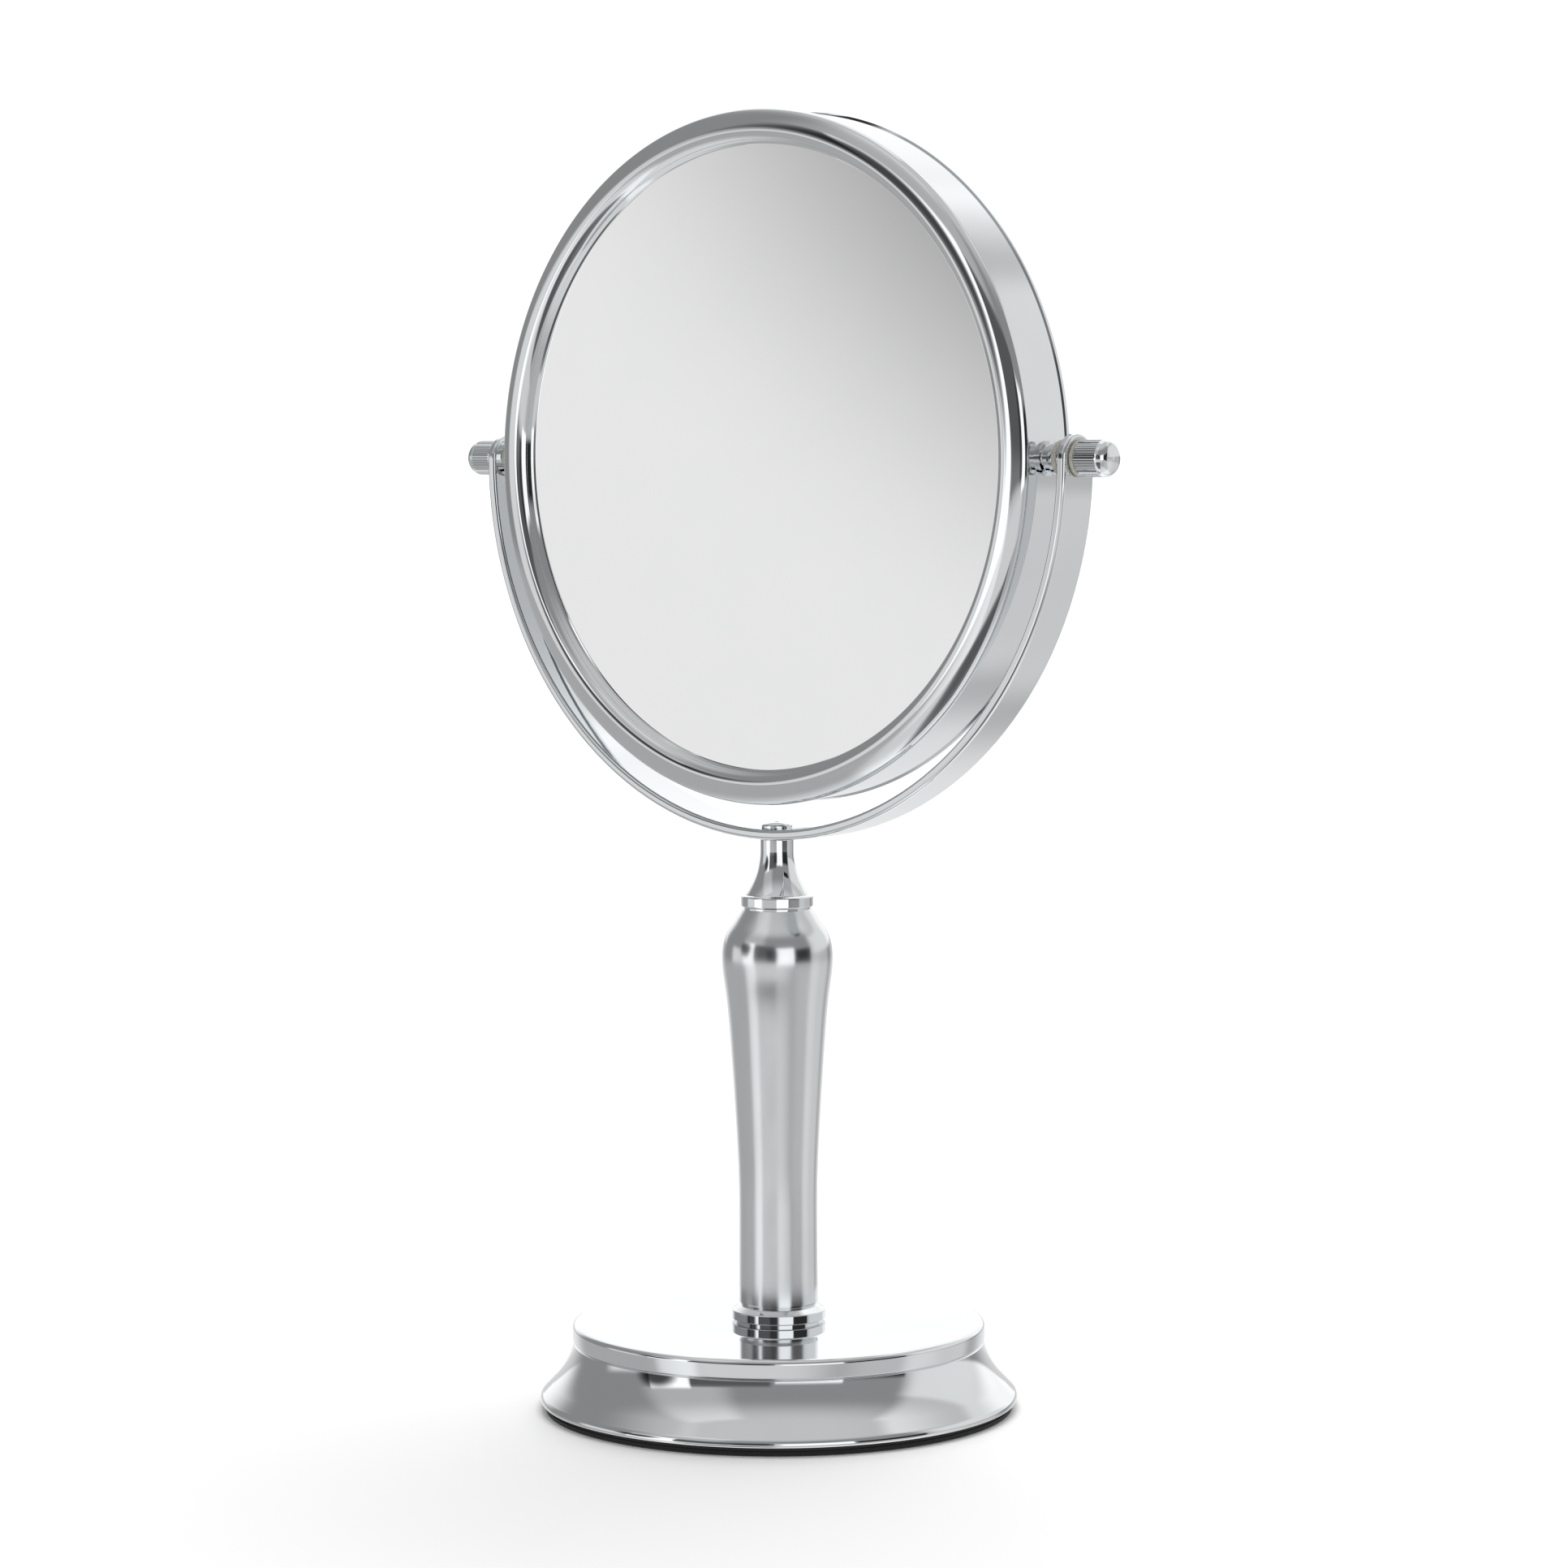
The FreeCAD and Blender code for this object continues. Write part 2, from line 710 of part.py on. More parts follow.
def tie_rod_nut(weight_bottom):
    """A hexagon nut under the washer."""
    top = weight_bottom - size("tie_washer_thickness")
    corner_radius = size("nut_corner_radius")
    body = new_body("tie_rod_nut")
    sketch = new_sketch(body, "tie_rod_nut_hexagon", "XY_Plane")
    sketch.AttachmentOffset = FreeCAD.Placement(
        FreeCAD.Vector(0, 0, top.value), FreeCAD.Rotation())
    sketch.setExpression("AttachmentOffset.Base.z", top.text)
    turns = [math.radians(60 * corner) for corner in range(6)]
    draw(sketch, [
        Corner(corner_radius * round(math.cos(turn), 9), corner_radius * round(math.sin(turn), 9))
        for turn in turns
    ])
    circle = Part.Circle(FreeCAD.Vector(0, 0, 0), FreeCAD.Vector(0, 0, 1), bolt_radius.value)
    hole = sketch.addGeometry(circle, False)
    sketch.addConstraint(Sketcher.Constraint("Coincident", hole, 3, -1, 1))
    bind(sketch, Sketcher.Constraint("Radius", hole, bolt_radius.value), bolt_radius.text)
    pad = body.newObject("PartDesign::Pad", "tie_rod_nut_body")
    pad.Profile = sketch
    pad.Reversed = True
    pad.setExpression("Length", size("nut_thickness").text)


# ---------------------------------------------------------------- base

def base_shell():
    """The chromed shell: flat top, beaded edge, hollow flare and rolled lip, open below."""
    top_radius = size("base_top_radius")
    foot_radius = size("base_foot_radius")
    foot = size("pad_thickness") + size("plate_thickness")
    flare_top = base_height - 5.9
    lip_top = foot + 2.5
    lip_turn = as_size(0.7)
    lip_belly = foot + lip_turn
    lip_spread = as_size(0.8)
    lip_rise = lip_top - lip_belly
    lip_bow = (lip_spread * lip_spread + lip_rise * lip_rise) / (2 * lip_spread)
    ceiling = base_height - shell_sheet
    turned("base_shell", [
        Corner(bolt_hole, base_height),
        Corner(bolt_hole, ceiling),
        Corner(size("weight_radius") + 0.5, ceiling),
        Corner(size("weight_radius") + 0.5, ceiling - 11),
        Corner(foot_radius - 2.9, foot + 1.7),
        Corner(foot_radius - 2.9, foot),
        Corner(foot_radius - lip_turn, foot),
        Corner(foot_radius, lip_belly, lip_turn),
        Corner(foot_radius - lip_spread, lip_top, lip_bow),
        Corner(foot_radius - 3.4, foot + 5.2),
        Corner(top_radius - 0.25, flare_top, -size("flare_bow")),
        Corner(top_radius - 0.6, flare_top + 0.35),
        Corner(top_radius - 0.1, flare_top + 0.85, 0.7),
        Corner(top_radius, base_height - 1.6, 30.0),
        Corner(top_radius - 1.3, base_height, 1.47),
    ])


def base_weight(bottom):
    radius = size("weight_radius")
    top = base_height - shell_sheet
    turned("base_weight", [
        Corner(bolt_hole, bottom),
        Corner(radius - 1, bottom),
        Corner(radius, bottom + 1),
        Corner(radius, top),
        Corner(bolt_hole, top),
    ])


def base_plate():
    """The steel plate that closes the shell from below."""
    bottom = size("pad_thickness")
    top = bottom + size("plate_thickness")
    turned("base_plate", [
        Corner(0, bottom),
        Corner(size("pad_radius") - 0.5, bottom),
        Corner(size("pad_radius") - 0.5, top),
        Corner(0, top),
    ])


def foot_pad():
    """The black rubber pad that the mirror stands on."""
    radius = size("pad_radius")
    turned("foot_pad", [
        Corner(0, 0),
        Corner(radius - 0.3, 0),
        Corner(radius, 0.3),
        Corner(radius, size("pad_thickness")),
        Corner(0, size("pad_thickness")),
    ])


# ---------------------------------------------------------------- the whole mirror

weight_bottom = base_height - shell_sheet - size("weight_thickness")
foot_pad()
base_plate()
base_weight(weight_bottom)
base_shell()
tie_rod_washer(weight_bottom)
tie_rod_nut(weight_bottom)
tie_rod()
lower_collar()
post_body()
neck()
yoke()
yoke_screw()
head_band()
bezel("front_bezel", rim_radius, 90)
bezel("rear_bezel", rear_rim_radius, -90)
front_mirror_glass()
rear_mirror_glass()
glass_spacer()
for side, swing in SIDES:
    pivot_boss(side + "_pivot_boss", swing)
    washer(side + "_inner_washer", swing, inner_washer_start, size("inner_washer"))
    washer(side + "_outer_washer", swing, outer_washer_start, size("outer_washer"))
    knob(side + "_knob", swing)
    pivot_stud(side + "_pivot_stud", swing)

doc.recompute()
for item in doc.Objects:
    if "Invalid" in item.State or "Error" in item.State:
        raise RuntimeError("%s failed: %s" % (item.Label, item.State))
for part in sub_parts:
    if part.Shape.isNull() or not part.Shape.isValid():
        raise RuntimeError("%s has no valid shape" % part.Label)

os.makedirs("parts", exist_ok=True)
for part in sub_parts:
    part.Shape.exportStep(os.path.join("parts", part.Label + ".step"))
    box = part.Shape.BoundBox
    print("%-20s %9.0f mm3  x %7.2f %7.2f  y %7.2f %7.2f  z %7.2f %7.2f" % (
        part.Label, part.Shape.Volume, box.XMin, box.XMax, box.YMin, box.YMax, box.ZMin, box.ZMax))
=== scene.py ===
import bpy
import math
import numpy
from mathutils import Matrix, Vector


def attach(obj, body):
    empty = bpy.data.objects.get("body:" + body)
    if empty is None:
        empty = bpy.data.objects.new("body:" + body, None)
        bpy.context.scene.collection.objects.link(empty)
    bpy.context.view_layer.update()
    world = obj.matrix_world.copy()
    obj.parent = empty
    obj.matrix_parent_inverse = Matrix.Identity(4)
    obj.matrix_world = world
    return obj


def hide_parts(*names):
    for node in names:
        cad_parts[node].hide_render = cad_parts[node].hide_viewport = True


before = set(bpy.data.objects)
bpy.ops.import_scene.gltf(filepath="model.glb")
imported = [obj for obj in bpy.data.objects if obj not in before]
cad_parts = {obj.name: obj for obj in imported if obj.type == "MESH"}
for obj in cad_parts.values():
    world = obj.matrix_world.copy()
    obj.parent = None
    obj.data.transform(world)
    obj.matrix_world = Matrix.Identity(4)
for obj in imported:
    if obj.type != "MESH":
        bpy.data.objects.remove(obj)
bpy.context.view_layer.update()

# ---------------------------------------------------------------- camera
# The camera stands to the right of the mirror's normal and about level with the pivots.
# Angles are in degrees, lengths in metres unless a name says otherwise.

VIEW_AZIMUTH = 41.15
VIEW_DISTANCE = 1.270
VIEW_HEIGHT = 0.270
VIEW_DOWN = 4.33
VIEW_ASIDE = -0.09
VIEW_ROLL = -0.20
FOCAL_MM = 105.9
SENSOR_MM = 36.0


def add_camera():
    """The scene's camera, at the viewing angle."""
    azimuth = math.radians(VIEW_AZIMUTH)
    heading = math.radians(VIEW_AZIMUTH + VIEW_ASIDE)
    down = math.radians(VIEW_DOWN)
    roll = math.radians(VIEW_ROLL)
    place = Vector((VIEW_DISTANCE * math.sin(azimuth), -VIEW_DISTANCE * math.cos(azimuth), VIEW_HEIGHT))
    level_ahead = math.cos(down)
    ahead = Vector((-math.sin(heading) * level_ahead, math.cos(heading) * level_ahead, -math.sin(down)))
    level = Vector((math.cos(heading), math.sin(heading), 0))
    upright = level.cross(ahead)
    right = math.cos(roll) * level + math.sin(roll) * upright
    up = right.cross(ahead)
    lens = bpy.data.cameras.new("camera")
    lens.lens = FOCAL_MM
    lens.sensor_width = SENSOR_MM
    lens.clip_start = 0.05
    lens.clip_end = 50
    camera = bpy.data.objects.new("camera", lens)
    camera.matrix_world = Matrix((
        (right.x, up.x, -ahead.x, place.x),
        (right.y, up.y, -ahead.y, place.y),
        (right.z, up.z, -ahead.z, place.z),
        (0, 0, 0, 1)))
    bpy.context.collection.objects.link(camera)
    bpy.context.scene.camera = camera


# ---------------------------------------------------------------- studio

# How softly a strip of the surroundings ends at its foot and top, the most light that any direction
# gives, and the brightness of the backdrop as the camera sees it.

FOOT_FADE = 3
TOP_FADE = 7
CLEAR_LIGHT = 1.3
WHITE_BACKDROP = 1.2

FLOOR_HALF = 12.0
FLOOR_WHITE = 0.92
FLOOR_GLOW = 0.05


def direction(azimuth, elevation):
    """A unit vector: azimuth 0 points along -Y, out of the mirror's front, and 90 along +X."""
    turn = math.radians(azimuth)
    rise = math.radians(elevation)
    return (math.sin(turn) * math.cos(rise), -math.cos(turn) * math.cos(rise), math.sin(rise))


def add_math(nodes, links, kind, first, second):
    """The result of a math node; each side is a number or another node's output."""
    node = nodes.new("ShaderNodeMath")
    node.operation = kind
    for socket, value in ((node.inputs[0], first), (node.inputs[1], second)):
        if hasattr(value, "links"):
            links.new(value, socket)
        else:
            socket.default_value = value
    return node.outputs[0]


def soft_patch(nodes, links, ray, azimuth, elevation, core, edge):
    """1 inside core degrees of a direction, falling smoothly to 0 at edge degrees."""
    dot = nodes.new("ShaderNodeVectorMath")
    dot.operation = "DOT_PRODUCT"
    links.new(ray, dot.inputs[0])
    dot.inputs[1].default_value = direction(azimuth, elevation)
    fade = nodes.new("ShaderNodeMapRange")
    fade.interpolation_type = "SMOOTHERSTEP"
    links.new(dot.outputs["Value"], fade.inputs["Value"])
    fade.inputs["From Min"].default_value = math.cos(math.radians(edge))
    fade.inputs["From Max"].default_value = math.cos(math.radians(core))
    return fade.outputs["Result"]


def level_part(nodes, links, ray):
    """The level direction a ray heads in, whatever its slope."""
    flat = nodes.new("ShaderNodeVectorMath")
    flat.operation = "MULTIPLY"
    links.new(ray, flat.inputs[0])
    flat.inputs[1].default_value = (1, 1, 0)
    level = nodes.new("ShaderNodeVectorMath")
    level.operation = "NORMALIZE"
    links.new(flat.outputs[0], level.inputs[0])
    return level.outputs[0]


def upright_strip(nodes, links, level, rise, azimuth, core, edge, low, high):
    """1 inside a tall strip of the surroundings, core degrees each side, from low to high degrees up."""
    shade = soft_patch(nodes, links, level, azimuth, 0, core, edge)
    for dark, full in ((low - FOOT_FADE, low), (high + TOP_FADE, high)):
        if abs(full) >= 90:
            continue
        fade = nodes.new("ShaderNodeMapRange")
        fade.interpolation_type = "SMOOTHERSTEP"
        links.new(rise, fade.inputs["Value"])
        fade.inputs["From Min"].default_value = math.sin(math.radians(dark))
        fade.inputs["From Max"].default_value = math.sin(math.radians(full))
        shade = add_math(nodes, links, "MULTIPLY", shade, fade.outputs["Result"])
    return shade


# Plain layers, as the elevations where each starts and is full, and its brightness at both.
HEIGHTS = (
    (-4, -9, 0.30, 0.47),            # the table
    (34, 80, 0.0, 0.36),             # the white ceiling
    (-30, -60, 0.0, 0.35),           # the lit table under the mirror
)

# Bright parts of the surroundings, as azimuth, half width, soft edge, lowest and highest elevation
# and brightness.  The camera stands at azimuth 41 and the far side of the mirror is at -139.
LIGHTS = (
    (-139, 2, 46, -90, 90, 0.42),    # the white backdrop behind the mirror
    (-145, 22, 54, 3, 52, 0.46),     # its brightest part, above the table
    (-23, 12, 14, -5, 20, 1.10),     # the large soft box left of the camera
    (-23, 12, 13, -6, 3, 0.60),      # its brightest, lowest part
    (-14, 8, 34, 24, 60, 0.22),      # its glow on the ceiling
    (-18, 5, 16, -90, -4, 0.30),     # its light on the table
    (-50, 9, 22, -5, 5, 0.52),       # its pale return
    (20, 10, 62, -20, -4, 0.28),     # the lit table in front
    (110, 5, 40, -90, -4, 0.12),     # the lit table to the right
    (58, 18, 20, -6, 14, 0.95),      # the wide soft box right of the camera
    (143, 18, 34, -90, 30, 0.24),    # the wall to the right
    (155, 24, 44, 4, 56, 0.32),      # its lit upper part
)

# Dark parts, in the same way, with the share of the light they take away.
FLAGS = (
    (13, 21, 26, -3, 18, 0.62),      # the dark room behind the camera
    (31, 8, 14, -3, 10, 0.60),       # the camera
    (13, 20, 30, -60, -26, 0.75),    # the dark floor in front of the table
    (97, 17, 20, -4, 10, 0.92),      # a black screen right of the camera
)

# A soft grey screen beside the large soft box: azimuth, elevation, core, edge and share.
SCREEN = (-30.4, 10.6, 3, 16.5, 0.95)


def add_world():
    """The surroundings as the chrome sees them: plain layers, soft boxes and dark flags."""
    world = bpy.data.worlds.new("studio")
    bpy.context.scene.world = world
    world.use_nodes = True
    nodes = world.node_tree.nodes
    links = world.node_tree.links
    nodes.clear()
    place = nodes.new("ShaderNodeTexCoord")
    ray = place.outputs["Generated"]
    level = level_part(nodes, links, ray)
    height = nodes.new("ShaderNodeSeparateXYZ")
    links.new(ray, height.inputs[0])
    rise = height.outputs["Z"]
    total = None
    for dark, full, low, high in HEIGHTS:
        layer = nodes.new("ShaderNodeMapRange")
        layer.interpolation_type = "SMOOTHERSTEP"
        links.new(rise, layer.inputs["Value"])
        layer.inputs["From Min"].default_value = math.sin(math.radians(dark))
        layer.inputs["From Max"].default_value = math.sin(math.radians(full))
        layer.inputs["To Min"].default_value = low
        layer.inputs["To Max"].default_value = high
        result = layer.outputs["Result"]
        total = result if total is None else add_math(nodes, links, "ADD", total, result)
    for azimuth, core, edge, low, high, brightness in LIGHTS:
        strip = upright_strip(nodes, links, level, rise, azimuth, core, edge, low, high)
        lit = add_math(nodes, links, "MULTIPLY", strip, brightness)
        total = add_math(nodes, links, "ADD", total, lit)
    for azimuth, core, edge, low, high, share in FLAGS:
        strip = upright_strip(nodes, links, level, rise, azimuth, core, edge, low, high)
        left = add_math(nodes, links, "SUBTRACT", 1.0, add_math(nodes, links, "MULTIPLY", strip, share))
        total = add_math(nodes, links, "MULTIPLY", total, left)
    azimuth, elevation, core, edge, share = SCREEN
    screen = soft_patch(nodes, links, ray, azimuth, elevation, core, edge)
    left = add_math(nodes, links, "SUBTRACT", 1.0, add_math(nodes, links, "MULTIPLY", screen, share))
    total = add_math(nodes, links, "MULTIPLY", total, left)
    total = add_math(nodes, links, "MINIMUM", total, CLEAR_LIGHT)
    seen = nodes.new("ShaderNodeLightPath")
    mix = nodes.new("ShaderNodeMix")
    mix.data_type = "FLOAT"
    links.new(seen.outputs["Is Camera Ray"], mix.inputs[0])
    links.new(total, mix.inputs[2])
    mix.inputs[3].default_value = WHITE_BACKDROP
    background = nodes.new("ShaderNodeBackground")
    background.inputs["Color"].default_value = (1, 1, 1, 1)
    links.new(mix.outputs[0], background.inputs["Strength"])
    output = nodes.new("ShaderNodeOutputWorld")
    links.new(background.outputs[0], output.inputs["Surface"])


def add_floor():
    """The plain pale floor."""
    size = FLOOR_HALF
    mesh = bpy.data.meshes.new("floor")
    corners = [(-size, -size, 0), (size, -size, 0), (size, size, 0), (-size, size, 0)]
    mesh.from_pydata(corners, [], [(0, 1, 2, 3)])
    floor = bpy.data.objects.new("floor", mesh)
    bpy.context.collection.objects.link(floor)
    floor.visible_glossy = False
    material = bpy.data.materials.new("floor_white")
    material.use_nodes = True
    shader = material.node_tree.nodes["Principled BSDF"]
    shader.inputs["Base Color"].default_value = (FLOOR_WHITE, FLOOR_WHITE, FLOOR_WHITE, 1)
    shader.inputs["Roughness"].default_value = 1.0
    shader.inputs["Specular IOR Level"].default_value = 0.0
    shader.inputs["Emission Color"].default_value = (1, 1, 1, 1)
    shader.inputs["Emission Strength"].default_value = FLOOR_GLOW
    mesh.materials.append(material)


def add_overhead_light(azimuth, elevation, strength, spread):
    """A very soft light from above that gives the floor its even white and the foot its shadow."""
    lamp = bpy.data.lights.new("overhead_light", "SUN")
    lamp.energy = strength
    lamp.angle = math.radians(spread)
    light = bpy.data.objects.new("overhead_light", lamp)
    light.rotation_euler = Vector(direction(azimuth, elevation)).to_track_quat("Z", "Y").to_euler()
    light.visible_glossy = False
    bpy.context.collection.objects.link(light)


# ---------------------------------------------------------------- materials

class Builder:
    """A material with one Principled shader and a few helpers to feed it."""

    def __init__(self, name):
        self.material = bpy.data.materials.new(name)
        self.material.use_nodes = True
        self.nodes = self.material.node_tree.nodes
        self.links = self.material.node_tree.links
        self.shader = self.nodes["Principled BSDF"]
        self.place = self.nodes.new("ShaderNodeTexCoord").outputs["Object"]

    def noise(self, scale, detail=3.0, stretch=None):
        source = self.place
        if stretch is not None:
            squeeze = self.nodes.new("ShaderNodeMapping")
            squeeze.inputs["Scale"].default_value = stretch
            self.links.new(source, squeeze.inputs["Vector"])
            source = squeeze.outputs["Vector"]
        texture = self.nodes.new("ShaderNodeTexNoise")
        texture.inputs["Scale"].default_value = scale
        texture.inputs["Detail"].default_value = detail
        self.links.new(source, texture.inputs["Vector"])
        return texture.outputs["Fac"]

    def spread(self, value, low, high, from_low=0.3, from_high=0.7):
        change = self.nodes.new("ShaderNodeMapRange")
        self.links.new(value, change.inputs["Value"])
        change.inputs["From Min"].default_value = from_low
        change.inputs["From Max"].default_value = from_high
        change.inputs["To Min"].default_value = low
        change.inputs["To Max"].default_value = high
        return change.outputs["Result"]

    def ramp(self, value, low, high):
        mix = self.nodes.new("ShaderNodeMix")
        mix.data_type = "RGBA"
        self.links.new(value, mix.inputs[0])
        mix.inputs[6].default_value = (*low, 1)
        mix.inputs[7].default_value = (*high, 1)
        return mix.outputs[2]

    def feed(self, name, value):
        self.links.new(value, self.shader.inputs[name])

    def bump(self, value, strength, distance):
        node = self.nodes.new("ShaderNodeBump")
        node.inputs["Strength"].default_value = strength
        node.inputs["Distance"].default_value = distance
        self.links.new(value, node.inputs["Height"])
        self.links.new(node.outputs["Normal"], self.shader.inputs["Normal"])


def chrome(name, tint=(0.775, 0.795, 0.81), roughness=0.018):
    """Polished chrome plate: a cool grey metal with faint haze, wipe marks and orange peel.

    A higher roughness gives the softer gloss of the post.
    """
    made = Builder(name)
    made.shader.inputs["Metallic"].default_value = 1.0
    haze = made.noise(38.0, 4.0)
    darker = tuple(channel * 0.965 for channel in tint)
    made.feed("Base Color", made.ramp(made.spread(haze, 0, 1), darker, tint))
    smears = made.noise(160.0, 5.0, (1.0, 1.0, 0.35))
    made.feed("Roughness", made.spread(smears, roughness * 0.85, roughness * 1.2))
    made.bump(made.noise(420.0, 2.0), 0.05, 0.00002)
    return made.material


def mirror_glass(name):
    """Back-silvered glass: a bright reflection with a faint green cast."""
    made = Builder(name)
    made.shader.inputs["Metallic"].default_value = 1.0
    dust = made.noise(55.0, 6.0)
    silver = made.ramp(made.spread(dust, 0, 1), (0.955, 0.962, 0.960), (0.970, 0.974, 0.972))
    made.feed("Base Color", silver)
    made.feed("Roughness", made.spread(dust, 0.0, 0.012))
    return made.material


def nylon(name):
    """Moulded cream nylon, a little matt."""
    made = Builder(name)
    grain = made.noise(900.0, 4.0)
    cream = made.ramp(made.spread(grain, 0, 1), (0.40, 0.39, 0.34), (0.52, 0.50, 0.44))
    made.feed("Base Color", cream)
    made.feed("Roughness", made.spread(grain, 0.38, 0.55))
    made.shader.inputs["Subsurface Weight"].default_value = 0.05
    made.shader.inputs["Subsurface Scale"].default_value = 0.0006
    made.bump(grain, 0.10, 0.00003)
    return made.material


def rubber(name):
    """Dull black rubber."""
    made = Builder(name)
    grain = made.noise(700.0, 6.0)
    black = made.ramp(made.spread(grain, 0, 1), (0.006, 0.006, 0.007), (0.018, 0.018, 0.019))
    made.feed("Base Color", black)
    made.feed("Roughness", made.spread(grain, 0.62, 0.85))
    made.bump(grain, 0.35, 0.00008)
    return made.material


def dark_metal(name, low, high, metallic, rough_low, rough_high, grain_scale):
    """A coated, cast or plated metal of the hidden pieces."""
    made = Builder(name)
    made.shader.inputs["Metallic"].default_value = metallic
    grain = made.noise(grain_scale, 6.0)
    made.feed("Base Color", made.ramp(made.spread(grain, 0, 1), low, high))
    made.feed("Roughness", made.spread(grain, rough_low, rough_high))
    made.bump(grain, 0.25, 0.0001)
    return made.material


def foam(name):
    """Black open foam."""
    made = Builder(name)
    grain = made.noise(1500.0, 3.0)
    black = made.ramp(made.spread(grain, 0, 1), (0.03, 0.03, 0.03), (0.08, 0.08, 0.08))
    made.feed("Base Color", black)
    made.feed("Roughness", made.spread(grain, 0.85, 1.0))
    made.bump(grain, 0.6, 0.0002)
    return made.material


def dress(material, *names):
    """Give CAD nodes a material in place of the plain one they come with."""
    for name in names:
        obj = bpy.data.objects[name]
        if not obj.material_slots:
            obj.data.materials.append(material)
        for slot in obj.material_slots:
            slot.link = "OBJECT"
            slot.material = material


# ---------------------------------------------------------------- shapes
# The polished pieces are made again here from the same outlines as the model, in millimetres,
# with true normals, so that their reflections run smoothly.  The front rim and the foot are a
# hundredth smaller, which keeps them inside the model's box.

MM = 0.001
TURN_STEPS = 288
ARC_STEP = 3.0

PIVOT_HEIGHT = 263.6
RIM_RADIUS = 94.99
REAR_RIM_RADIUS = 94.6
BAND_RADIUS = 94.2
BAND_SHEET = 1.0
HEAD_HALF_DEPTH = 11.9
BAND_END = HEAD_HALF_DEPTH - 2.3
SIGHT_RADIUS = 85.3
GLASS_RADIUS = 88.6
GLASS_FACE = 8.0
GLASS_THICKNESS = 3.0
GLASS_DISH = 4.4
YOKE_RADIUS = 104.8
YOKE_SHEET = 2.8
EAR_RISE = 1.2
EAR_FACE = YOKE_RADIUS - YOKE_SHEET - EAR_RISE
PIVOT_GAP = 0.05
INNER_WASHER = 1.7
BOSS_RADIUS = 4.6
BOSS_END = EAR_FACE - PIVOT_GAP - INNER_WASHER
RIVET_RADIUS = 2.75
STUD_BORE = 2.05
NECK_TOP_RADIUS = 4.6
NECK_FOOT_RADIUS = 8.8
NECK_COLLAR_RADIUS = 10.0
POST_TOP = 139.3
BELLY_RADIUS = 15.3
WAIST_RADIUS = 10.85
COLLAR_RADIUS = 13.0
COLLAR_HEIGHT = 4.6
BOLT_RADIUS = 3.0
BASE_HEIGHT = 24.3
BASE_TOP_RADIUS = 57.3
BASE_FOOT_RADIUS = 66.39
SHELL_SHEET = 1.2
FOOT = 2.4

UPRIGHT = Matrix.Identity(3)
FRONTWARD = Matrix.Rotation(math.radians(90), 3, "X")
REARWARD = Matrix.Rotation(math.radians(-90), 3, "X")
SIDEWARD = {
    "left": Matrix.Rotation(math.radians(-90), 3, "Y"),
    "right": Matrix.Rotation(math.radians(90), 3, "Y"),
}


def dome_bow(spread, rise):
    """The radius of an arc that is square to the axis at one end and falls by rise over spread."""
    return (spread * spread + rise * rise) / (2 * rise)


def line_run(start, end):
    """Two samples, as place and outward normal, of a straight stretch."""
    along = (end - start).normalized()
    out = Vector((along.y, -along.x))
    return [(start, out), (end, out)]


def arc_run(start, end, bow):
    """Samples of an arc of radius bow that turns left for a positive bow and right for a negative."""
    radius = abs(bow)
    chord = end - start
    rise = math.sqrt(max(radius ** 2 - chord.length ** 2 / 4, 0))
    left = Vector((-chord.y, chord.x)).normalized()
    centre = (start + end) / 2 + left * (rise if bow > 0 else -rise)
    sweep = 2 * math.asin(min(chord.length / 2 / radius, 1)) * (1 if bow > 0 else -1)
    steps = max(4, math.ceil(abs(math.degrees(sweep)) / ARC_STEP))
    first = start - centre
    side = 1 if bow > 0 else -1
    run = []
    for step in range(steps + 1):
        spoke = Matrix.Rotation(sweep * step / steps, 2) @ first
        run.append((centre + spoke, spoke.normalized() * side))
    return run


def outline_runs(corners):
    """The stretches of a closed outline: a corner is (across, up), or (across, up, bow) after an arc."""
    runs = []
    for index, corner in enumerate(corners):
        start = Vector(corners[index - 1][:2])
        end = Vector(corner[:2])
        runs.append(arc_run(start, end, corner[2]) if len(corner) == 3 else line_run(start, end))
    return runs


def curve_run(stations, steps):
    """Samples of the natural cubic curve through the stations."""
    points = numpy.array(stations, dtype=float)
    gaps = numpy.linalg.norm(numpy.diff(points, axis=0), axis=1)
    count = len(points)
    system = numpy.eye(count)
    load = numpy.zeros((count, 2))
    for index in range(1, count - 1):
        before, after = gaps[index - 1], gaps[index]
        system[index, index - 1:index + 2] = before, 2 * (before + after), after
        slope_after = (points[index + 1] - points[index]) / after
        slope_before = (points[index] - points[index - 1]) / before
        load[index] = 6 * (slope_after - slope_before)
    bends = numpy.linalg.solve(system, load)
    run = []
    for index in range(count - 1):
        gap = gaps[index]
        last = index == count - 2
        for step in range(steps + 1 if last else steps):
            along = gap * step / steps
            rest = gap - along
            place = ((bends[index] * rest ** 3 + bends[index + 1] * along ** 3) / (6 * gap)
                     + (points[index] / gap - bends[index] * gap / 6) * rest
                     + (points[index + 1] / gap - bends[index + 1] * gap / 6) * along)
            slope = ((bends[index + 1] * along ** 2 - bends[index] * rest ** 2) / (2 * gap)
                     + (points[index + 1] - points[index]) / gap
                     - (bends[index + 1] - bends[index]) * gap / 6)
            run.append((Vector(place), Vector((slope[1], -slope[0])).normalized()))
    return run


